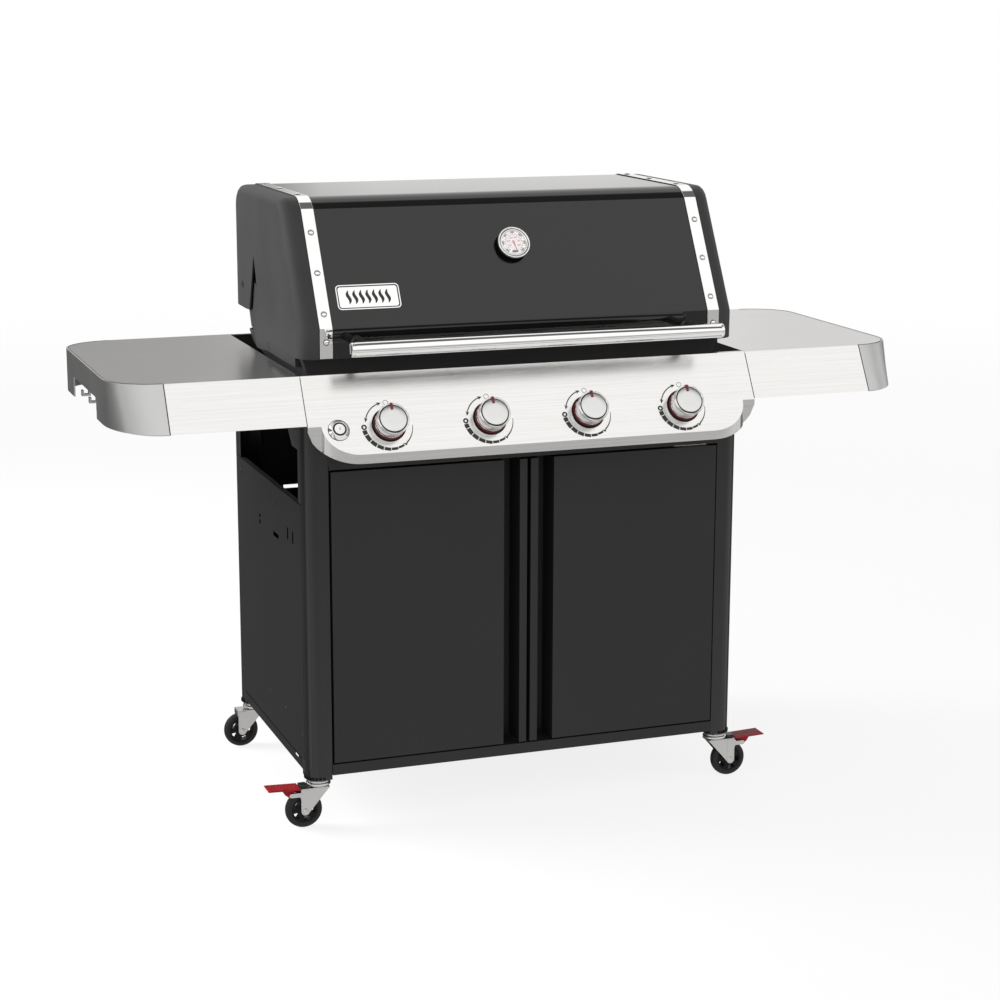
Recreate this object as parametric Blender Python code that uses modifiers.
"""Gas barbecue grill on a four-caster cabinet, built as separate sub-parts in metres.

The frame stands +Z up with its origin on the floor under the middle of the grill.
+X runs along the length to the grill's right-hand table, and -Y is the cook's side.
"""

from math import cos, pi, radians, sin, tan

import bmesh
import bpy
from mathutils import Matrix, Vector

# ---------------------------------------------------------------- driving dimensions
GAP = 0.0003            # clearance left between pieces that touch
SHEET = 0.0015          # folded steel sheet

WIDTH = 1.700           # over both side tables
TABLE_Z = 0.941         # working surface of the side tables
SEAM_X = 0.4800         # joint between control panel and side tables
CORNER_X = 0.7488       # where a table's cast end begins
FRONT_TOP_Y = -0.2521   # top front edge of panel and tables
FACE_LEAN = radians(30.6)
TABLE_BACK_Y = 0.3360
TABLE_DEPTH_Z = 0.090   # height of the table's front band

PANEL_LOW_Z = 0.795     # bottom of the sloping face
PANEL_FLANGE_Z = 0.7765
PANEL_FLAT_X = 0.3775   # half length of the straight lower edge
PANEL_RISE_X = 0.4523   # where the lower edge has risen to the tables' height

CABINET_X = 0.4738      # outer face of the side panels
LEG_INNER_X = 0.4240
FRONT_LEG_Y = -0.2210   # centre of the rounded corner, over the caster
REAR_LEG_Y = 0.3229
LEG_RADIUS = 0.0280
LEG_FOOT_Z = 0.1040
LEG_TOP_Z = 0.8760
FLOOR_Z = 0.1365
DOOR_Y = -0.2530        # front plane of the doors
DOOR_LOW_Z = 0.1400
DOOR_TOP_Z = 0.7452
HEADER_LOW_Z = 0.7495

LID_HALF = 0.4700
TRIM_IN = 0.4050
TRIM_OUT = 0.4308
LID_LOW_Z = 0.9665
LID_REAR_LOW_Z = 1.0130
PIVOT_Y = 0.2450        # lid hinge
PIVOT_Z = 1.0610
DOOR_HINGE_X = 0.4195
DOOR_HINGE_Y = -0.2500

KNOB_X = (-0.3158, -0.1055, 0.1055, 0.3158)
KNOB_DOWN = 0.1114      # distance down the sloping face
IGNITER_X = -0.4187
IGNITER_DOWN = 0.1164

WHEEL_RADIUS = 0.0385
WHEEL_WIDTH = 0.0220
SWIVEL_X = 0.4470
TRAIL = 0.0320          # wheel axle behind the swivel axis

FACE_DOWN = Vector((0.0, -sin(FACE_LEAN), -cos(FACE_LEAN)))
FACE_OUT = Vector((0.0, -cos(FACE_LEAN), sin(FACE_LEAN)))
FACE_TOP = Vector((0.0, FRONT_TOP_Y, TABLE_Z))
SIDES = (("left", -1), ("right", 1))


# ---------------------------------------------------------------- scene and materials
def clear_scene():
    for obj in list(bpy.data.objects):
        bpy.data.objects.remove(obj, do_unlink=True)


def new_collection(name):
    collection = bpy.data.collections.new(name)
    bpy.context.scene.collection.children.link(collection)
    return collection


def new_material(name, colour, roughness, metallic):
    material = bpy.data.materials.new(name)
    material.use_nodes = True
    shader = material.node_tree.nodes["Principled BSDF"]
    shader.inputs["Base Color"].default_value = (*colour, 1.0)
    shader.inputs["Roughness"].default_value = roughness
    shader.inputs["Metallic"].default_value = metallic
    return material


clear_scene()
GRILL = new_collection("gas_grill")
CUTTERS = new_collection("cutters")

ENAMEL = new_material("lid_enamel", (0.030, 0.030, 0.032), 0.12, 0.0)
CAST_BLACK = new_material("cast_black", (0.070, 0.070, 0.072), 0.55, 0.2)
POWDER = new_material("powder_coat", (0.032, 0.032, 0.033), 0.45, 0.0)
STAINLESS = new_material("brushed_stainless", (0.80, 0.79, 0.77), 0.30, 1.0)
POLISHED = new_material("polished_steel", (0.86, 0.86, 0.86), 0.10, 1.0)
CAST_SILVER = new_material("cast_silver", (0.62, 0.62, 0.63), 0.38, 0.9)
IRON = new_material("porcelain_iron", (0.020, 0.020, 0.020), 0.35, 0.3)
BURNER_STEEL = new_material("burner_steel", (0.45, 0.42, 0.38), 0.40, 1.0)
ALUMINIUM = new_material("aluminium", (0.60, 0.60, 0.60), 0.40, 1.0)
ZINC = new_material("zinc", (0.55, 0.54, 0.52), 0.35, 1.0)
TYRE = new_material("tyre_rubber", (0.030, 0.030, 0.030), 0.70, 0.0)
PEDAL_RED = new_material("pedal_red", (0.40, 0.012, 0.018), 0.40, 0.0)
BUTTON_WHITE = new_material("button_white", (0.85, 0.85, 0.85), 0.25, 0.0)


# ---------------------------------------------------------------- modelling helpers
def add_object(name, mesh, collection, material=None):
    obj = bpy.data.objects.new(name, mesh)
    collection.objects.link(obj)
    if material:
        mesh.materials.append(material)
    return obj


def smooth(obj, angle=35.0):
    obj.data.shade_smooth()
    obj.data.set_sharp_from_angle(angle=radians(angle))


def hide_cutter(obj):
    obj.hide_render = True
    obj.display_type = "WIRE"


def box_mesh(low, high):
    """A box between two corners, from a primitive cube."""
    size = [high[i] - low[i] for i in range(3)]
    middle = [(high[i] + low[i]) / 2 for i in range(3)]
    bm = bmesh.new()
    bmesh.ops.create_cube(bm, size=1.0, matrix=Matrix.Translation(middle) @ Matrix.Diagonal((*size, 1.0)))
    mesh = bpy.data.meshes.new("box")
    bm.to_mesh(mesh)
    bm.free()
    return mesh


def box(name, low, high, collection, material=None):
    return add_object(name, box_mesh(low, high), collection, material)


def rod_mesh(start, end, radius, sides=24):
    """A cylinder between two points, from a primitive cone with equal ends."""
    start = Vector(start)
    end = Vector(end)
    axis = end - start
    turn = axis.to_track_quat("Z", "Y").to_matrix().to_4x4()
    place = Matrix.Translation((start + end) / 2) @ turn
    bm = bmesh.new()
    bmesh.ops.create_cone(bm, cap_ends=True, segments=sides, radius1=radius, radius2=radius,
                          depth=axis.length, matrix=place)
    mesh = bpy.data.meshes.new("rod")
    bm.to_mesh(mesh)
    bm.free()
    return mesh


def rod(name, start, end, radius, collection, material=None, sides=24):
    return add_object(name, rod_mesh(start, end, radius, sides), collection, material)


def outline_mesh(outlines, thickness, place):
    """A flat plate from closed outlines, the inner ones being holes."""
    curve = bpy.data.curves.new("outline", "CURVE")
    curve.dimensions = "2D"
    curve.fill_mode = "BOTH"
    curve.extrude = thickness / 2
    for outline in outlines:
        spline = curve.splines.new("POLY")
        spline.points.add(len(outline) - 1)
        for point, (u, v) in zip(spline.points, outline):
            point.co = (u, v, 0.0, 1.0)
        spline.use_cyclic_u = True
    guide = bpy.data.objects.new("outline", curve)
    CUTTERS.objects.link(guide)
    evaluated = guide.evaluated_get(bpy.context.evaluated_depsgraph_get())
    mesh = bpy.data.meshes.new_from_object(evaluated)
    bm = bmesh.new()
    bm.from_mesh(mesh)
    bmesh.ops.remove_doubles(bm, verts=bm.verts, dist=0.00001)
    bmesh.ops.transform(bm, matrix=place, verts=bm.verts)
    bmesh.ops.recalc_face_normals(bm, faces=bm.faces)
    bm.to_mesh(mesh)
    bm.free()
    bpy.data.objects.remove(guide, do_unlink=True)
    return mesh


def plate(name, outlines, thickness, place, collection, material=None):
    return add_object(name, outline_mesh(outlines, thickness, place), collection, material)


# local (u, v) axes of a plate laid in each of the three planes, at a distance along the normal
def flat_xy(z):
    return Matrix.Translation((0, 0, z))


def flat_yz(x):
    return Matrix(((0, 0, 1, x), (1, 0, 0, 0), (0, 1, 0, 0), (0, 0, 0, 1)))


def flat_xz(y):
    return Matrix(((1, 0, 0, 0), (0, 0, -1, y), (0, 1, 0, 0), (0, 0, 0, 1)))


def side_limits(side, near, far):
    """The two x limits of a box on one side, in rising order, each as a one-element tuple."""
    low, high = sorted((side * near, side * far))
    return (low,), (high,)


def arc(centre, radius, start, end, steps):
    """Points on an arc, angles in degrees, radius a number or a pair for an ellipse."""
    ru, rv = radius if isinstance(radius, tuple) else (radius, radius)
    points = []
    for i in range(steps + 1):
        angle = radians(start + (end - start) * i / steps)
        points.append((centre[0] + ru * cos(angle), centre[1] + rv * sin(angle)))
    return points


def rectangle(u0, v0, u1, v1):
    return [(u0, v0), (u1, v0), (u1, v1), (u0, v1)]


def loft_mesh(rows, close_rows=False, cap_first=False, cap_last=False):
    """Quads between rows of equal length. Each row is a list of 3D points."""
    bm = bmesh.new()
    grid = [[bm.verts.new(point) for point in row] for row in rows]
    count = len(rows[0])
    spans = count if close_rows else count - 1
    for upper, lower in zip(grid, grid[1:]):
        for i in range(spans):
            j = (i + 1) % count
            bm.faces.new((upper[i], upper[j], lower[j], lower[i]))
    if cap_first:
        bm.faces.new(list(reversed(grid[0])))
    if cap_last:
        bm.faces.new(grid[-1])
    mesh = bpy.data.meshes.new("loft")
    bm.to_mesh(mesh)
    bm.free()
    return mesh


def solidify(obj, thickness, offset):
    modifier = obj.modifiers.new("wall", "SOLIDIFY")
    modifier.thickness = thickness
    modifier.offset = offset
    modifier.use_even_offset = True


def boolean(obj, tool, operation):
    modifier = obj.modifiers.new(tool.name, "BOOLEAN")
    modifier.operation = operation
    modifier.object = tool
    modifier.solver = "EXACT"
    hide_cutter(tool)


def cut(obj, *tools):
    for tool in tools:
        boolean(obj, tool, "DIFFERENCE")


def weld(obj, *tools):
    for tool in tools:
        boolean(obj, tool, "UNION")


def put_origin(obj, point):
    """Set an object's origin on its joint's axis. Its shape stays where it is."""
    obj.data.transform(Matrix.Translation(-Vector(point)))
    obj.location = point


def turned(name, profile, material, place, steps=24):
    """A turned piece: profile points are (radius, height), down the outer side first."""
    bm = bmesh.new()
    verts = [bm.verts.new((radius, 0.0, height)) for radius, height in profile]
    for first, second in zip(verts, verts[1:] + verts[:1]):
        if first.co.x > 0 or second.co.x > 0:
            bm.edges.new((first, second))
    mesh = bpy.data.meshes.new(name)
    bm.to_mesh(mesh)
    bm.free()
    obj = add_object(name, mesh, GRILL, material)
    screw = obj.modifiers.new("turn", "SCREW")
    screw.steps = steps
    screw.render_steps = steps
    screw.use_merge_vertices = True
    screw.merge_threshold = 0.0001
    screw.use_smooth_shade = True
    obj.matrix_world = place
    return obj


def face_place(x, down, lift=0.0):
    """Frame on the control panel's sloping face, local Z pointing out of it."""
    origin = FACE_TOP + FACE_DOWN * down + FACE_OUT * lift
    turn = Matrix((
        (1, 0, 0, x),
        (0, -FACE_DOWN.y, FACE_OUT.y, origin.y),
        (0, -FACE_DOWN.z, FACE_OUT.z, origin.z),
        (0, 0, 0, 1),
    ))
    return turn


def face_y(z):
    """Depth of the panel's outer face at a height."""
    return FRONT_TOP_Y - (TABLE_Z - z) * tan(FACE_LEAN)


# ---------------------------------------------------------------- cabinet
FRONT_LEG_OUT_Y = FRONT_LEG_Y - LEG_RADIUS
REAR_LEG_OUT_Y = REAR_LEG_Y + LEG_RADIUS
LEG_DEPTH = 0.056
JOGGLE = 0.0022         # the side panel laps over the leg's sunken edge


def leg_outline(wall):
    """Half-open channel seen from above, for the leg on the +X, -Y corner, about its caster axis."""
    inner = LEG_INNER_X - SWIVEL_X
    outer = CABINET_X - SWIVEL_X
    back = LEG_DEPTH - LEG_RADIUS
    centre = outer - LEG_RADIUS
    sunk = outer - JOGGLE
    outside = [(inner, back), (inner, -LEG_RADIUS)]
    outside += arc((centre, 0.0), LEG_RADIUS, -90, 0, 7)
    outside += [(sunk, 0.0015), (sunk, back)]
    inside = [(sunk - wall, back), (sunk - wall, 0.0)]
    inside += arc((centre, 0.0), LEG_RADIUS - wall - JOGGLE, 0, -90, 4)
    inside += [(centre, -LEG_RADIUS + wall), (inner + wall, -LEG_RADIUS + wall), (inner + wall, back)]
    return outside + inside


def make_leg(name, side, end_y, front):
    """Bent corner post with a plug in its foot that takes the caster's stem."""
    wall = 0.0020
    plug_radius = 0.0218
    collar_radius = 0.0270
    socket_radius = 0.0059
    flip = 1 if front else -1
    points = [(side * (SWIVEL_X + u), end_y + flip * v) for u, v in leg_outline(wall)]
    height = LEG_TOP_Z - LEG_FOOT_Z
    leg = plate(name, [points], height, flat_xy(LEG_FOOT_Z + height / 2), GRILL, POWDER)
    x = side * SWIVEL_X
    plug = rod(name + "_plug", (x, end_y, LEG_FOOT_Z - 0.0005), (x, end_y, LEG_FOOT_Z + 0.030),
               plug_radius, CUTTERS, sides=16)
    collar = rod(name + "_collar", (x, end_y, LEG_FOOT_Z - 0.001), (x, end_y, LEG_FOOT_Z + 0.0055),
                 collar_radius, CUTTERS, sides=20)
    socket = rod(name + "_socket", (x, end_y, LEG_FOOT_Z - 0.005), (x, end_y, LEG_FOOT_Z + 0.0260),
                 socket_radius, CUTTERS, sides=12)
    weld(leg, plug, collar)
    cut(leg, socket)
    smooth(leg)


def make_base_panel():
    """Floor tray of the cabinet, notched round the legs, with a rim turned down on every side."""
    side_x = CABINET_X - 0.0022
    notch_x = LEG_INNER_X - GAP
    front_y = DOOR_Y + 0.001
    back_y = REAR_LEG_OUT_Y - 0.003
    front_notch_y = FRONT_LEG_OUT_Y + LEG_DEPTH + GAP
    rear_notch_y = REAR_LEG_OUT_Y - LEG_DEPTH - GAP
    right_half = [(notch_x, front_y), (notch_x, front_notch_y), (side_x, front_notch_y),
                  (side_x, rear_notch_y), (notch_x, rear_notch_y), (notch_x, back_y)]
    outline = right_half + [(-x, y) for x, y in reversed(right_half)]
    rim_z = 0.1138
    rows = [[(x, y, rim_z) for x, y in outline], [(x, y, FLOOR_Z) for x, y in outline]]
    tray = add_object("base_panel", loft_mesh(rows, close_rows=True, cap_last=True), GRILL, POWDER)
    solidify(tray, SHEET, -1.0)
    slot_low_z, slot_high_z = 0.1270, 0.1340
    for label, side in SIDES:
        for i, (y0, y1) in enumerate(((-0.1600, -0.1330), (-0.1910, -0.1850))):
            low, high = side_limits(side, side_x - 0.010, side_x + 0.010)
            cut(tray, box("rim_slot_%s_%d" % (label, i), low + (y0, slot_low_z), high + (y1, slot_high_z),
                          CUTTERS))


SIDE_FRONT_Y = FRONT_LEG_Y + 0.0018
SIDE_REAR_Y = REAR_LEG_Y - 0.0018
SIDE_LOW_Z = 0.1398
SIDE_TOP_Z = 0.6740


def make_side_panel(name, side):
    """Folded side sheet: a tall face with a flange turned in along its top edge."""
    rows = []
    for y in (SIDE_FRONT_Y, SIDE_REAR_Y):
        rows.append([(side * CABINET_X, y, SIDE_LOW_Z), (side * CABINET_X, y, SIDE_TOP_Z)])
    face = loft_mesh(rows)
    panel = add_object(name, face, GRILL, POWDER)
    solidify(panel, SHEET, side)
    low, high = side_limits(side, CABINET_X - 0.0125, CABINET_X - 0.0008)
    weld(panel, box(name + "_flange", low + (FRONT_LEG_OUT_Y + LEG_DEPTH + 0.001, SIDE_TOP_Z - 0.0015),
                    high + (REAR_LEG_OUT_Y - LEG_DEPTH - 0.001, SIDE_TOP_Z - 0.0001), CUTTERS))
    slots = [rectangle(-0.117, 0.581, -0.107, 0.606), rectangle(-0.157, 0.581, -0.147, 0.606)]
    slots += [[(0.006, 0.573), (-0.038, 0.573), (-0.036, 0.563), (0.008, 0.563)]]
    slots += [rectangle(0.115, 0.562, 0.127, 0.572), rectangle(0.115, 0.577, 0.127, 0.584)]
    for i, slot in enumerate(slots):
        cutter = plate(name + "_slot%d" % i, [slot], 0.01, flat_yz(side * CABINET_X), CUTTERS)
        cut(panel, cutter)


def make_rear_panel():
    """Back sheet, wider above the legs, with vent slots, the grease tray's opening and a top flange."""
    half = LEG_INNER_X - 0.0008
    wide = SEAM_X - 0.0010
    back = REAR_LEG_OUT_Y - 0.0042
    front = back - SHEET
    shoulder = LEG_TOP_Z + 0.0015
    top = TABLE_Z - 0.0020
    panel = box("rear_panel", (-half, front, FLOOR_Z + GAP), (half, back, top - 0.010), GRILL, POWDER)
    upper = box("rear_upper", (-wide, front, shoulder), (wide, back, top), CUTTERS)
    flange = box("rear_flange", (-wide, front - 0.0115, top - SHEET), (wide, back - 0.0002, top), CUTTERS)
    weld(panel, upper, flange)
    slot_length = 0.050
    pitch = 0.090
    for i in range(9):
        x = -half + 0.060 + i * pitch
        cut(panel, box("vent_%d" % i, (x, front - 0.01, 0.585), (x + slot_length, back + 0.01, 0.593), CUTTERS))
    cut(panel, box("tray_opening", (-0.3160, front - 0.01, 0.6430), (0.3160, back + 0.01, 0.7050), CUTTERS))


def make_front_header():
    """Cross channel between the front legs, over the doors."""
    front = DOOR_Y + 0.0005
    low = HEADER_LOW_Z
    high = 0.7850
    depth = 0.034
    profile = [(front, low), (front + depth, low), (front + depth, low + SHEET),
               (front + SHEET, low + SHEET), (front + SHEET, high - SHEET),
               (front + depth, high - SHEET), (front + depth, high), (front, high)]
    plate("front_header", [profile], 2 * (LEG_INNER_X - GAP), flat_yz(0.0), GRILL, POWDER)


def make_door(name, side):
    """One pressed door. Its inner edge turns back round a deep finger recess to a narrow front strip."""
    outer = 0.4200
    recess_out = 0.0545
    recess_in = 0.0200
    edge = 0.0040
    skin = 0.0012
    fold = 0.020
    recess_depth = 0.062
    y0 = DOOR_Y
    path = [(outer, y0 + fold), (outer, y0), (recess_out, y0), (recess_out, y0 + recess_depth),
            (recess_in, y0 + recess_depth), (recess_in, y0), (edge, y0), (edge, y0 + fold)]
    outside = [(side * x, y) for x, y in path]
    inner_path = [(outer - skin, y0 + fold), (outer - skin, y0 + skin),
                  (recess_out + skin, y0 + skin), (recess_out + skin, y0 + recess_depth + skin),
                  (recess_in - skin, y0 + recess_depth + skin), (recess_in - skin, y0 + skin),
                  (edge + skin, y0 + skin), (edge + skin, y0 + fold)]
    inside = [(side * x, y) for x, y in reversed(inner_path)]
    height = DOOR_TOP_Z - DOOR_LOW_Z
    door = plate(name, [outside + inside], height, flat_xy(DOOR_LOW_Z + height / 2), GRILL, POWDER)
    for label, z0 in (("_foot", DOOR_LOW_Z), ("_head", DOOR_TOP_Z - skin)):
        low, high = side_limits(side, outer - skin / 2, recess_out + skin / 2)
        lip = box(name + label, low + (y0 + skin / 2, z0 + 0.0001), high + (y0 + fold - 0.0005, z0 + skin),
                  CUTTERS)
        weld(door, lip)
    put_origin(door, (side * DOOR_HINGE_X, DOOR_HINGE_Y, DOOR_LOW_Z))


# ---------------------------------------------------------------- cookbox and what it holds
# each ring is (height, half length, front y, back y)
COOKBOX_RINGS = (
    (0.7150, 0.3850, -0.120, 0.215),
    (0.8200, 0.4000, -0.155, 0.255),
    (0.9050, 0.4230, -0.170, 0.275),
    (0.9320, 0.4460, -0.1765, 0.284),
    (0.9625, 0.4560, -0.1770, 0.285),
)
BOX_WALL = 0.004
BURNER_Z = 0.8150
LEDGE_Z = 0.9345
BAR_LEDGE_Z = 0.8615


def rounded_ring(z, half, front, back, front_radius, back_radius):
    points = arc((half - back_radius, back - back_radius), back_radius, 0, 90, 3)
    points += arc((-half + back_radius, back - back_radius), back_radius, 90, 180, 3)
    points += arc((-half + front_radius, front + front_radius), front_radius, 180, 270, 2)
    points += arc((half - front_radius, front + front_radius), front_radius, 270, 360, 2)
    return [(x, y, z) for x, y in points]


def riser_outline():
    """Side view of the cookbox's hinge upstand: (y, z) points round the pivot boss."""
    base = [(0.050, 0.945), (0.150, 0.937), (0.162, 0.940), (0.179, 0.971), (0.202, 0.978), (0.215, 1.006)]
    boss = arc((PIVOT_Y, PIVOT_Z), 0.022, -55, 105, 8)
    front = [(0.200, 1.085), (0.150, 1.070), (0.112, 1.018), (0.094, 0.990), (0.062, 0.9655)]
    return base + boss + front


def make_cookbox():
    """Cast fire box with grate ledges, burner holes, a grease opening and two hinge upstands."""
    rows = [rounded_ring(*ring, 0.008, 0.035) for ring in COOKBOX_RINGS]
    cookbox = add_object("cookbox", loft_mesh(rows, close_rows=True, cap_first=True), GRILL, CAST_BLACK)
    solidify(cookbox, BOX_WALL, -1.0)
    pieces = []
    for label, z, front, back, half in (("grate", LEDGE_Z, -0.1745, 0.2815, 0.425),
                                        ("bar", BAR_LEDGE_Z, -0.1640, 0.2660, 0.400)):
        depth = 0.013
        pieces.append(box("%s_ledge_front" % label, (-half, front, z - 0.006),
                          (half, front + depth, z), CUTTERS))
        pieces.append(box("%s_ledge_rear" % label, (-half, back - depth, z - 0.0062),
                          (half, back + 0.0008, z + 0.0001), CUTTERS))
    for label, side in SIDES:
        riser = plate("riser_" + label, [riser_outline()], 0.012, flat_yz(side * 0.4575), CUTTERS)
        pieces.append(riser)
        rim = [(0.4480, 0.9430), (0.4630, 0.9430), (0.4630, 0.9622), (0.4545, 0.9622)]
        pieces.append(plate("rim_" + label, [[(side * x, z) for x, z in rim]], 0.2160, flat_xz(-0.0480), CUTTERS))
        for end, y0, y1 in (("front", -0.2150, -0.1520), ("rear", 0.2480, 0.3200)):
            low, high = side_limits(side, 0.3950, 0.4500)
            lug = box("lug_%s_%s" % (end, label), low + (y0, LEG_TOP_Z + GAP),
                      high + (y1, LEG_TOP_Z + 0.0105), CUTTERS)
            pieces.append(lug)
        rail_low, rail_high = side_limits(side, 0.3035, 0.3075)
        lip_low, lip_high = side_limits(side, 0.2935, 0.3060)
        pieces.append(box("rail_" + label, rail_low + (-0.100, 0.6505), rail_high + (0.205, 0.7170), CUTTERS))
        pieces.append(box("rail_lip_" + label, lip_low + (-0.099, 0.6500), lip_high + (0.204, 0.6530), CUTTERS))
    weld(cookbox, *pieces)
    holes = []
    for i, x in enumerate(KNOB_X):
        holes.append(rod("burner_hole_%d" % i, (x, -0.200, BURNER_Z), (x, -0.120, BURNER_Z), 0.0165,
                         CUTTERS, sides=16))
    holes.append(box("grease_opening", (-0.150, 0.000, 0.700), (0.150, 0.100, 0.735), CUTTERS))
    holes.append(rod("hinge_bore", (-0.480, PIVOT_Y, PIVOT_Z), (0.480, PIVOT_Y, PIVOT_Z), 0.0043,
                     CUTTERS, sides=16))
    cut(cookbox, *holes)
    smooth(cookbox, 30)


def make_hinge_pin(name, side):
    """Shouldered pin that joins the lid to one upstand, its head on the inner side."""
    turn = Matrix.Translation((side * 0.4440, PIVOT_Y, PIVOT_Z)) @ Matrix.Rotation(side * pi / 2, 4, "Y")
    profile = [(0.0, 0.0254), (0.0040, 0.0254), (0.0040, 0.0072), (0.0075, 0.0072), (0.0075, 0.0010),
               (0.0, 0.0010)]
    turned(name, profile, ZINC, turn, steps=12)


def make_grate(name, side):
    """One cast cooking grate: a frame and bars that run front to back."""
    near = 0.0010
    far = 0.4300
    front = -0.1700
    back = 0.2730
    rim = 0.009
    end_rim = 0.015
    bar = 0.0085
    pitch = 0.0228
    thickness = 0.0110
    lift = 0.0004         # rests on the ledge with this clearance
    holes = []
    for i in range(18):
        u0 = near + rim + i * pitch
        low, high = sorted((side * u0, side * (u0 + pitch - bar)))
        holes.append(rectangle(low, front + end_rim, high, back - end_rim))
    low, high = sorted((side * near, side * far))
    middle_z = LEDGE_Z + lift + thickness / 2
    plate(name, [rectangle(low, front, high, back)] + holes, thickness, flat_xy(middle_z), GRILL, IRON)


def make_heat_bar(name, x):
    """Inverted-V sheet over one burner."""
    half = 0.038
    length = 0.400
    middle_y = 0.050
    rise = 0.026
    skin = 0.0016
    low = BAR_LEDGE_Z + 0.0006
    profile = [(x - half, low), (x, low + rise), (x + half, low), (x + half - 2 * skin, low),
               (x, low + rise - 1.4 * skin), (x - half + 2 * skin, low)]
    plate(name, [profile], length, flat_xz(middle_y), GRILL, STAINLESS)


def make_burner(name, x):
    """Tube burner, open at its front end over the valve's nozzle and closed at the rear."""
    front = -0.2120
    back = 0.2300
    length = back - front
    neck = length * 0.82
    shoulder = length * 0.70
    skin = 0.0014
    place = Matrix.Translation((x, back, BURNER_Z)) @ Matrix.Rotation(pi / 2, 4, "X")
    profile = [(0.0118, length), (0.0118, neck), (0.0140, shoulder), (0.0140, 0.0), (0.0, 0.0),
               (0.0, skin), (0.0140 - skin, skin), (0.0140 - skin, shoulder), (0.0118 - skin, neck),
               (0.0118 - skin, length)]
    turned(name, profile, BURNER_STEEL, place, steps=12)


VALVE_BORE = 0.0046


def valve_point(x, depth):
    """A point on a valve's axis, a distance behind the panel's face."""
    origin = FACE_TOP + FACE_DOWN * KNOB_DOWN - FACE_OUT * depth
    return Vector((x, origin.y, origin.z))


def make_gas_manifold():
    """Gas rail with four valve bodies, their nozzles, and an inlet at the left end."""
    rail_centre = valve_point(0.0, 0.078)
    manifold = rod("gas_manifold", (-0.365, rail_centre.y, rail_centre.z),
                   (0.345, rail_centre.y, rail_centre.z), 0.0100, GRILL, ALUMINIUM, sides=12)
    for i, x in enumerate(KNOB_X):
        body = rod("valve_body_%d" % i, valve_point(x, 0.040), valve_point(x, 0.0765), 0.0135, CUTTERS,
                   sides=12)
        nozzle = rod("nozzle_%d" % i, (x, rail_centre.y + 0.002, BURNER_Z),
                     (x, rail_centre.y + 0.042, BURNER_Z), 0.0050, CUTTERS, sides=8)
        weld(manifold, body, nozzle)
    inlet = rod("manifold_inlet", (-0.357, rail_centre.y, rail_centre.z - 0.004),
                (-0.357, rail_centre.y + 0.044, rail_centre.z - 0.004), 0.0078, CUTTERS, sides=12)
    weld(manifold, inlet)
    for i, x in enumerate(KNOB_X):
        cut(manifold, rod("valve_bore_%d" % i, valve_point(x, 0.036), valve_point(x, 0.062), VALVE_BORE,
                          CUTTERS, sides=8))
    smooth(manifold)


def make_grease_tray():
    """Shallow sliding tray under the fire box, with a turned lip at its rear edge to pull."""
    half = 0.3010
    front = -0.0950
    back = 0.2250
    low = 0.6535
    high = 0.6960
    draft = 0.012
    rows = [
        [(-half + draft, front + draft, low), (half - draft, front + draft, low),
         (half - draft, back - draft, low), (-half + draft, back - draft, low)],
        [(-half, front, high), (half, front, high), (half, back, high), (-half, back, high)],
    ]
    tray = add_object("grease_tray", loft_mesh(rows, close_rows=True, cap_first=True), GRILL, ALUMINIUM)
    solidify(tray, SHEET, -1.0)
    lip = box("tray_lip", (-0.090, back - 0.002, high - 0.004), (0.090, back + 0.024, high - 0.0012),
              CUTTERS)
    weld(tray, lip)
    put_origin(tray, (0.0, front, low))


def make_warming_rack():
    """Slotted rack over the rear of the grates, standing on two end legs."""
    half = 0.3900
    front = 0.0400
    back = 0.1700
    top = 1.0700
    slots = []
    count = 7
    span = (back - front - 0.012) / count
    for i in range(count):
        v0 = front + 0.009 + i * span
        slots.append(rectangle(-half + 0.012, v0, -0.004, v0 + span - 0.006))
        slots.append(rectangle(0.004, v0, half - 0.012, v0 + span - 0.006))
    rack = plate("warming_rack", [rectangle(-half, front, half, back)] + slots, 0.005, flat_xy(top),
                 GRILL, STAINLESS)
    foot_z = LEDGE_Z + GAP + 0.0115
    for label, side in SIDES:
        low, high = side_limits(side, half - 0.0050, half - 0.0005)
        for end, y0 in (("front", front + 0.003), ("rear", back - 0.015)):
            weld(rack, box("rack_leg_%s_%s" % (end, label), low + (y0, foot_z),
                           high + (y0 + 0.012, top - 0.001), CUTTERS))


# ---------------------------------------------------------------- control panel and tables
def panel_columns():
    """(x, z of the sloping face's low edge, z of the flange's low edge) across one half."""
    rise_z = 0.8490
    columns = []
    for i in range(4):
        columns.append((PANEL_FLAT_X * i / 3, PANEL_LOW_Z, PANEL_FLANGE_Z))
    steps = 9
    for i in range(1, steps + 1):
        angle = radians(90.0 * i / steps)
        x = PANEL_FLAT_X + (PANEL_RISE_X - PANEL_FLAT_X) * sin(angle)
        z = rise_z - (rise_z - PANEL_LOW_Z) * cos(angle)
        columns.append((x, z, flange_z(x)))
    last = SEAM_X - GAP
    for i in range(1, 4):
        x = PANEL_RISE_X + (last - PANEL_RISE_X) * i / 3
        columns.append((x, rise_z, flange_z(x)))
    return columns


def flange_z(x):
    """The flange's lower edge sweeps up as a quarter ellipse to meet the table's lower edge."""
    reach = min(1.0, max(0.0, (x - PANEL_FLAT_X) / (SEAM_X + 0.0005 - PANEL_FLAT_X)))
    return 0.8475 - (0.8475 - PANEL_FLANGE_Z) * (1 - reach ** 2) ** 0.5


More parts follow.
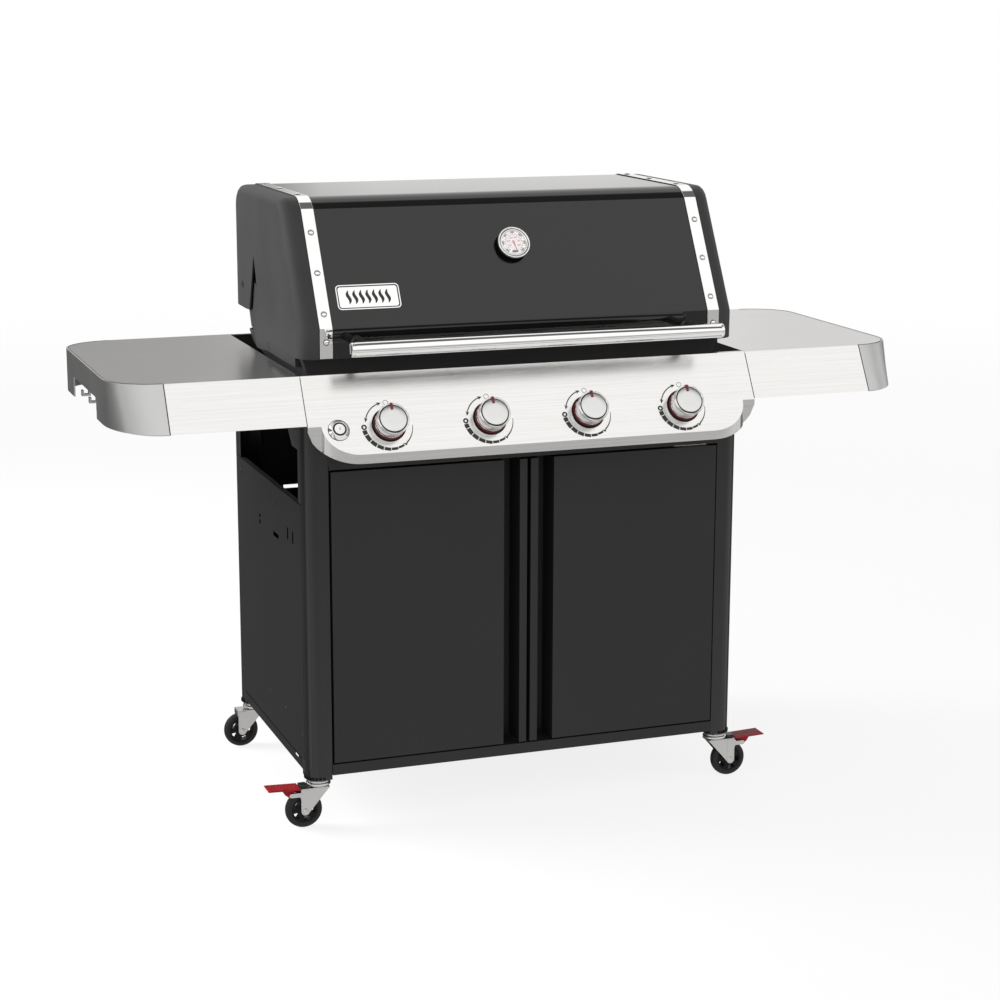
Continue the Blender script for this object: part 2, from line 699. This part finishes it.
def make_control_panel():
    """Folded stainless front: a short top lip, a sloping face and a vertical lower flange."""
    half = panel_columns()
    columns = [(-x, face, flange) for x, face, flange in reversed(half[1:])] + half
    lip = [(x, FRONT_TOP_Y + 0.012, TABLE_Z) for x, face, flange in columns]
    top = [(x, FRONT_TOP_Y, TABLE_Z) for x, face, flange in columns]
    low = [(x, face_y(face), face) for x, face, flange in columns]
    bottom = [(x, face_y(face) + 0.0002, flange) for x, face, flange in columns]
    panel = add_object("control_panel", loft_mesh([lip, top, low, bottom]), GRILL, STAINLESS)
    solidify(panel, SHEET, 1.0)
    for i, x in enumerate(KNOB_X):
        origin = FACE_TOP + FACE_DOWN * KNOB_DOWN
        centre = Vector((x, origin.y, origin.z))
        cut(panel, rod("stem_hole_%d" % i, centre - FACE_OUT * 0.01, centre + FACE_OUT * 0.01, 0.0080,
                       CUTTERS, sides=16))
    origin = FACE_TOP + FACE_DOWN * IGNITER_DOWN
    centre = Vector((IGNITER_X, origin.y, origin.z))
    cut(panel, rod("igniter_hole", centre - FACE_OUT * 0.01, centre + FACE_OUT * 0.01, 0.0128, CUTTERS,
                   sides=24))


TABLE_END_X = WIDTH / 2
CORNER_FRONT_Y = -0.1520
CORNER_REAR_Y = 0.2480
END_WALL = 0.003


def table_edge(side, inset, front_radius_y, steps=9):
    """Plan of the table's outer end, front seam to rear seam, at one height."""
    rx = TABLE_END_X - CORNER_X - inset
    front = arc((CORNER_X, CORNER_FRONT_Y), (rx, front_radius_y - inset), -90, 0, steps)
    rear = arc((CORNER_X, CORNER_REAR_Y), (rx, TABLE_BACK_Y - CORNER_REAR_Y - inset), 0, 90, steps)
    return [(side * x, y) for x, y in front + rear]


def make_table_frame(name, side):
    """Cast end of a side table: a leaning corner that turns into an upright end with a hook recess."""
    top_y = CORNER_FRONT_Y - FRONT_TOP_Y
    low_z = TABLE_Z - TABLE_DEPTH_Z
    low_y = CORNER_FRONT_Y - face_y(low_z)
    upper = [(x, y, TABLE_Z) for x, y in table_edge(side, 0.0, top_y)]
    lower = [(x, y, low_z) for x, y in table_edge(side, 0.0, low_y)]
    rows = [upper, lower] if side > 0 else [lower, upper]
    frame = add_object(name, loft_mesh(rows), GRILL, CAST_SILVER)
    solidify(frame, END_WALL, 1.0)
    low, high = side_limits(side, TABLE_END_X - 0.010, TABLE_END_X + 0.010)
    recess_top = 0.8930
    recess = box(name + "_recess", low + (-0.0890, low_z - 0.010), high + (0.1740, recess_top), CUTTERS)
    cut(frame, recess)
    low, high = side_limits(side, TABLE_END_X - 0.0300, TABLE_END_X - 0.0015)
    shelf = box(name + "_shelf", low + (-0.0940, recess_top - 0.0010), high + (0.1790, recess_top + 0.0020),
                CUTTERS)
    weld(frame, shelf)
    for i, y in enumerate((-0.048, 0.040, 0.128)):
        hook = [(TABLE_END_X - 0.026, recess_top + 0.001), (TABLE_END_X - 0.026, 0.860),
                (TABLE_END_X - 0.008, 0.860), (TABLE_END_X - 0.008, 0.872), (TABLE_END_X - 0.012, 0.872),
                (TABLE_END_X - 0.012, 0.864), (TABLE_END_X - 0.022, 0.864),
                (TABLE_END_X - 0.022, recess_top + 0.001)]
        outline = [(side * x, z) for x, z in hook]
        weld(frame, plate(name + "_hook%d" % i, [outline], 0.014, flat_xz(y), CUTTERS))
    smooth(frame)


def make_table_top(name, side):
    """Stainless table sheet, bent down at the front as a leaning band and at the rear as a flange."""
    low_z = TABLE_Z - TABLE_DEPTH_Z
    near = SEAM_X + GAP
    far = CORNER_X - GAP
    profile = [(TABLE_BACK_Y, TABLE_Z - 0.036), (TABLE_BACK_Y, TABLE_Z), (FRONT_TOP_Y, TABLE_Z),
               (face_y(low_z), low_z), (face_y(low_z) + 0.012, low_z)]
    ends = [near, far] if side > 0 else [-far, -near]
    rows = [[(x, y, z) for y, z in profile] for x in ends]
    table = add_object(name, loft_mesh(rows), GRILL, STAINLESS)
    solidify(table, SHEET, -1.0)
    edge = table_edge(side, END_WALL + 0.0008, CORNER_FRONT_Y - FRONT_TOP_Y)
    inner = [(side * (far - 0.004), TABLE_BACK_Y - END_WALL - 0.001),
             (side * (far - 0.004), FRONT_TOP_Y + END_WALL + 0.001)]
    weld(table, plate(name + "_end", [edge + inner], SHEET - 0.0002, flat_xy(TABLE_Z - SHEET / 2), CUTTERS))
    low, high = side_limits(side, near, near + SHEET)
    weld(table, box(name + "_hem", low + (-0.235, TABLE_Z - 0.045), high + (0.320, TABLE_Z - 0.0006),
                    CUTTERS))


# ---------------------------------------------------------------- knobs and igniter
def make_stem(name, x):
    """Valve stem: it slides in when the knob is pushed."""
    place = face_place(x, KNOB_DOWN)
    profile = [(0.0, 0.0200), (0.0040, 0.0200), (0.0040, -0.0560), (0.0, -0.0560)]
    turned(name, profile, ALUMINIUM, place, steps=12)


def make_knob(name, x):
    """Control knob: straight skirt under a wider rim, with a round face, bored for its stem."""
    place = face_place(x, KNOB_DOWN)
    profile = [(0.0, 0.0362), (0.0306, 0.0362), (0.0322, 0.0348), (0.0322, 0.0285), (0.0306, 0.0262),
               (0.0306, 0.0060), (0.0043, 0.0060), (0.0043, 0.0203), (0.0, 0.0203)]
    turned(name, profile, POLISHED, place, steps=20)


def make_igniter_button():
    """Push button of the spark igniter, with its body behind the panel."""
    place = face_place(IGNITER_X, IGNITER_DOWN)
    profile = [(0.0, 0.0085), (0.0105, 0.0085), (0.0120, 0.0070), (0.0120, -0.0250), (0.0, -0.0250)]
    turned("igniter_button", profile, BUTTON_WHITE, place, steps=24)


# ---------------------------------------------------------------- lid
SLOPE_FOOT = (-0.2254, 1.0280)
SLOPE_HEAD = (-0.0970, 1.2500)
LID_TOP_Z = 1.2720
LID_BACK_Y = 0.3080
BACK_RADIUS = 0.047


def lid_profile():
    """Side view of the lid's outer skin from the front edge, over the top, to the rear edge.

    Each entry is (y, z, inward direction in degrees, edge rounding at the lid's ends)."""
    slope = 30.0
    points = [(SLOPE_FOOT[0], LID_LOW_Z, 0.0, 0.036), (*SLOPE_FOOT, -slope / 2, 0.036)]
    points.append((-0.1612, 1.1390, -slope, 0.036))
    points.append((*SLOPE_HEAD, -slope, 0.034))
    crown = (-0.0520, 1.2200)
    for i in range(1, 5):
        angle = 150.0 - 60.0 * i / 4
        y = crown[0] + 0.0520 * cos(radians(angle))
        z = crown[1] + 0.0520 * sin(radians(angle))
        points.append((y, z, angle - 180.0, 0.034 - 0.004 * i))
    back = (LID_BACK_Y - BACK_RADIUS, LID_TOP_Z - BACK_RADIUS)
    for i in range(7):
        angle = 90.0 - 90.0 * i / 6
        y = back[0] + BACK_RADIUS * cos(radians(angle))
        z = back[1] + BACK_RADIUS * sin(radians(angle))
        points.append((y, z, angle - 180.0, 0.018))
    points.append((LID_BACK_Y, LID_LOW_Z, -180.0, 0.018))
    return points


def lid_skin(outset=0.0, low=LID_LOW_Z):
    """The profile as plain (y, z) points, moved outward, between the front edge and the rear edge."""
    points = []
    for y, z, turn, rounding in lid_profile():
        angle = radians(turn)
        points.append((y - outset * cos(angle), z - outset * sin(angle)))
    points[0] = (points[0][0], low)
    points[-1] = (points[-1][0], LID_REAR_LOW_Z)
    return points


def make_lid_shell():
    """The lid's enamelled sheet between its two cast ends."""
    skin = lid_skin()
    half = TRIM_IN - GAP
    rows = [[(x, y, z) for y, z in skin] for x in (-half, half)]
    shell = add_object("lid_shell", loft_mesh(rows), GRILL, ENAMEL)
    solidify(shell, 0.0020, 1.0)
    foot, out, up = slope_frame()
    centre = foot + up * THERMO_UP
    cut(shell, rod("thermometer_hole", centre - out * 0.01, centre + out * 0.01, 0.0055, CUTTERS, sides=16))
    smooth(shell, 25)


def make_lid_end(name, side):
    """Cast end of the lid: rounded over from the skin to a flat outer side, hollow inside."""
    profile = lid_profile()
    rows = [[(side * (TRIM_IN + 0.0001), y, z) for y, z, turn, rounding in profile]]
    steps = 6
    for i in range(steps + 1):
        swing = radians(90.0 * i / steps)
        row = []
        for y, z, turn, rounding in profile:
            move = rounding * (1 - cos(swing))
            x = LID_HALF - rounding + rounding * sin(swing)
            row.append((side * x, y + move * cos(radians(turn)), z + move * sin(radians(turn))))
        rows.append(row)
    if side > 0:
        rows.reverse()
    mesh = loft_mesh(rows, cap_first=side > 0, cap_last=side < 0)
    end = add_object(name, mesh, GRILL, CAST_BLACK)
    solidify(end, 0.0035, -1.0)
    groove = [(0.0563, 0.9500), (0.0563, 0.9653), (0.0720, 0.9740), (0.0892, 0.9934), (0.1044, 1.0240),
              (0.1430, 1.1310), (0.1460, 1.1310), (0.1893, LID_REAR_LOW_Z + 0.001),
              (0.2163, LID_REAR_LOW_Z - 0.001), (0.3300, LID_REAR_LOW_Z), (0.3300, 0.9500)]
    trim = plate(name + "_trim_line", [groove], 0.100, flat_yz(side * 0.4400), CUTTERS)
    bore = rod(name + "_bore", (side * 0.4550, PIVOT_Y, PIVOT_Z), (side * 0.4800, PIVOT_Y, PIVOT_Z), 0.0048,
               CUTTERS, sides=16)
    cut(end, trim, bore)
    smooth(end, 40)


def make_lid_trim(name, side):
    """Bright strap over the joint between the lid's sheet and its cast end."""
    last_points = 2       # the strap stops before the lid's rear edge
    skin = lid_skin(outset=GAP, low=LID_LOW_Z + 0.002)[:-last_points]
    ends = [side * TRIM_IN, side * TRIM_OUT]
    rows = [[(x, y, z) for y, z in skin] for x in sorted(ends)]
    trim = add_object(name, loft_mesh(rows), GRILL, POLISHED)
    solidify(trim, 0.0018, -1.0)
    smooth(trim, 25)


HANDLE_Y = -0.3205
HANDLE_Z = 0.9991
HANDLE_HALF = 0.3958
HANDLE_RADIUS = 0.0150
POST_X = 0.3560


def make_lid_handle():
    """Full-width steel tube with closed ends and a small vent hole at the back."""
    handle = rod("lid_handle", (-HANDLE_HALF, HANDLE_Y, HANDLE_Z), (HANDLE_HALF, HANDLE_Y, HANDLE_Z),
                 HANDLE_RADIUS, GRILL, POLISHED, sides=24)
    hollow = rod("handle_hollow", (-HANDLE_HALF + 0.003, HANDLE_Y, HANDLE_Z),
                 (HANDLE_HALF - 0.003, HANDLE_Y, HANDLE_Z), HANDLE_RADIUS - 0.0015, CUTTERS, sides=16)
    vent = rod("handle_vent", (0.0, HANDLE_Y + 0.005, HANDLE_Z), (0.0, HANDLE_Y + 0.020, HANDLE_Z), 0.0015,
               CUTTERS, sides=8)
    cut(handle, hollow, vent)
    smooth(handle)


def make_handle_post(name, side):
    """Black standoff between the lid and the handle tube."""
    back = SLOPE_FOOT[0] - GAP
    front = HANDLE_Y + HANDLE_RADIUS + GAP
    length = back - front
    place = Matrix.Translation((side * POST_X, back, HANDLE_Z)) @ Matrix.Rotation(pi / 2, 4, "X")
    profile = [(0.0, length), (0.0085, length), (0.0085, 0.008), (0.0135, 0.004), (0.0135, 0.0), (0.0, 0.0)]
    turned(name, profile, CAST_BLACK, place, steps=14)


THERMO_UP = 0.1620      # distance up the lid's slope
THERMO_RADIUS = 0.0345


def slope_frame():
    """Foot of the lid's slope, its outward normal and its upward direction."""
    rise = Vector((0.0, SLOPE_HEAD[0] - SLOPE_FOOT[0], SLOPE_HEAD[1] - SLOPE_FOOT[1])).normalized()
    out = Vector((0.0, -rise.z, rise.y))
    return Vector((0.0, *SLOPE_FOOT)), out, rise


def make_thermometer():
    """Lid thermometer: black housing, wide bezel and a probe through the lid."""
    foot, out, up = slope_frame()
    centre = foot + up * THERMO_UP + out * GAP
    place = Matrix((
        (1, 0, 0, 0),
        (0, up.y, out.y, centre.y),
        (0, up.z, out.z, centre.z),
        (0, 0, 0, 1),
    ))
    profile = [(0.0, 0.0145), (0.0290, 0.0145), (0.0315, 0.0175), (THERMO_RADIUS, 0.0165),
               (THERMO_RADIUS, 0.0100), (0.0260, 0.0080), (0.0250, 0.0), (0.0050, 0.0), (0.0050, -0.055),
               (0.0, -0.055)]
    turned("thermometer", profile, POLISHED, place, steps=20)


# ---------------------------------------------------------------- casters
FORK_HALF = 0.0150
AXLE_RADIUS = 0.0042


def make_fork(name, side, y, with_pedal):
    """Caster fork: swivel stem and race, a bridge, two arms and the riveted axle."""
    x = side * SWIVEL_X
    place = Matrix.Translation((x, y, 0.0))
    profile = [(0.0, 0.1265), (0.0055, 0.1265), (0.0055, 0.1024), (0.0235, 0.1024), (0.0205, 0.0960),
               (0.0240, 0.0930), (0.0150, 0.0855), (0.0, 0.0855)]
    fork = turned(name, profile, ZINC, place, steps=16)
    axle_x = SWIVEL_X + TRAIL
    bridge_low, bridge_high = side_limits(side, SWIVEL_X - 0.020, axle_x + 0.0080)
    bridge = box(name + "_bridge", bridge_low + (y - FORK_HALF - 0.0024, 0.0835),
                 bridge_high + (y + FORK_HALF + 0.0024, 0.0865), CUTTERS)
    weld(fork, bridge)
    arm = arc((axle_x, WHEEL_RADIUS), 0.0090, 200, 360, 6)
    arm += [(axle_x + 0.0090, 0.0645)]
    if with_pedal:
        arm += [(axle_x + 0.0110, 0.0700), (axle_x + 0.0270, 0.0700)]
        arm += arc((axle_x + 0.0290, 0.0745), 0.0045, -60, 90, 4)
        arm += [(axle_x + 0.0090, 0.0790)]
    arm += [(axle_x + 0.0090, 0.0850), (SWIVEL_X - 0.0195, 0.0850)]
    outline = [(side * u, v) for u, v in arm]
    for label, shift in (("near", -1), ("far", 1)):
        weld(fork, plate("%s_%s_arm" % (name, label), [outline], 0.0024,
                         flat_xz(y + shift * (FORK_HALF + 0.0011)), CUTTERS))
    axle = rod(name + "_axle", (side * axle_x, y - FORK_HALF - 0.0045, WHEEL_RADIUS),
               (side * axle_x, y + FORK_HALF + 0.0045, WHEEL_RADIUS), AXLE_RADIUS, CUTTERS, sides=12)
    weld(fork, axle)
    if with_pedal:
        pin_x = side * (axle_x + 0.0290)
        weld(fork, rod(name + "_pedal_pin", (pin_x, y - FORK_HALF - 0.0005, 0.0745),
                       (pin_x, y + FORK_HALF + 0.0005, 0.0745), 0.0020, CUTTERS, sides=8))


def make_wheel(name, side, y):
    """Caster wheel: rounded tyre, narrower web and a hub bored for the axle."""
    place = Matrix.Translation((side * (SWIVEL_X + TRAIL), y, WHEEL_RADIUS)) @ Matrix.Rotation(pi / 2, 4, "X")
    half = WHEEL_WIDTH / 2
    bore = AXLE_RADIUS + 0.0003
    profile = [(0.0110, half + 0.0008), (0.0120, 0.0050), (0.0270, 0.0050), (0.0300, half),
               (0.0355, half * 0.85), (WHEEL_RADIUS, 0.0), (0.0355, -half * 0.85), (0.0300, -half),
               (0.0270, -0.0050), (0.0120, -0.0050), (0.0110, -half - 0.0008), (bore, -half - 0.0008),
               (bore, half + 0.0008)]
    turned(name, profile, TYRE, place, steps=20)


PEDAL_PIN_X = SWIVEL_X + TRAIL + 0.0290
PEDAL_PIN_Z = 0.0745


def make_brake_pedal(name, side, y):
    """Foot pedal of a front caster's brake: a long plate on two cheeks about its pin."""
    profile = [(0.4895, 0.0860), (0.5560, 0.0905), (0.5560, 0.0880), (0.5225, 0.0845), (0.5135, 0.0700),
               (0.5050, 0.0695), (0.4995, 0.0800), (0.4895, 0.0815)]
    outline = [(side * u, v) for u, v in profile]
    pedal = plate(name, [outline], 0.024, flat_xz(y), GRILL, PEDAL_RED)
    tread = [(side * u, v) for u, v in ((0.4890, 0.0882), (0.5565, 0.0908), (0.5565, 0.0882), (0.4890, 0.0856))]
    weld(pedal, plate(name + "_tread", [tread], 0.042, flat_xz(y), CUTTERS))
    cut(pedal, rod(name + "_pin_bore", (side * PEDAL_PIN_X, y - 0.030, PEDAL_PIN_Z),
                   (side * PEDAL_PIN_X, y + 0.030, PEDAL_PIN_Z), 0.0024, CUTTERS, sides=8))
    put_origin(pedal, (side * PEDAL_PIN_X, y, PEDAL_PIN_Z))


# ---------------------------------------------------------------- assembly
def hang_lid():
    """Hang every piece of the lid from an empty on its hinge axis."""
    axis = bpy.data.objects.new("lid_axis", None)
    axis.location = (0.0, PIVOT_Y, PIVOT_Z)
    GRILL.objects.link(axis)
    bpy.context.view_layer.update()
    names = ["lid_shell", "lid_handle", "thermometer"]
    names += [stem + label for stem in ("lid_end_", "lid_trim_", "handle_post_") for label, side in SIDES]
    for name in names:
        piece = bpy.data.objects[name]
        piece.parent = axis
        piece.matrix_parent_inverse = axis.matrix_world.inverted()


for label, side in SIDES:
    make_leg("front_leg_" + label, side, FRONT_LEG_Y, True)
    make_leg("rear_leg_" + label, side, REAR_LEG_Y, False)
    make_side_panel("side_panel_" + label, side)
    make_door("door_" + label, side)
    make_hinge_pin("lid_hinge_pin_" + label, side)
    make_grate("cooking_grate_" + label, side)
    make_table_frame("table_frame_" + label, side)
    make_table_top("table_top_" + label, side)
    make_lid_end("lid_end_" + label, side)
    make_lid_trim("lid_trim_" + label, side)
    make_handle_post("handle_post_" + label, side)
    make_brake_pedal("brake_pedal_" + label, side, FRONT_LEG_Y)
    for end, y in (("front", FRONT_LEG_Y), ("rear", REAR_LEG_Y)):
        make_fork("caster_fork_%s_%s" % (end, label), side, y, end == "front")
        make_wheel("caster_wheel_%s_%s" % (end, label), side, y)

make_base_panel()
make_rear_panel()
make_front_header()
make_cookbox()
make_gas_manifold()
make_grease_tray()
make_warming_rack()
make_control_panel()
make_igniter_button()
make_lid_shell()
make_lid_handle()
make_thermometer()

for number, x in enumerate(KNOB_X, start=1):
    make_heat_bar("heat_bar_%d" % number, x)
    make_burner("burner_%d" % number, x)
    make_stem("valve_stem_%d" % number, x)
    make_knob("control_knob_%d" % number, x)

hang_lid()
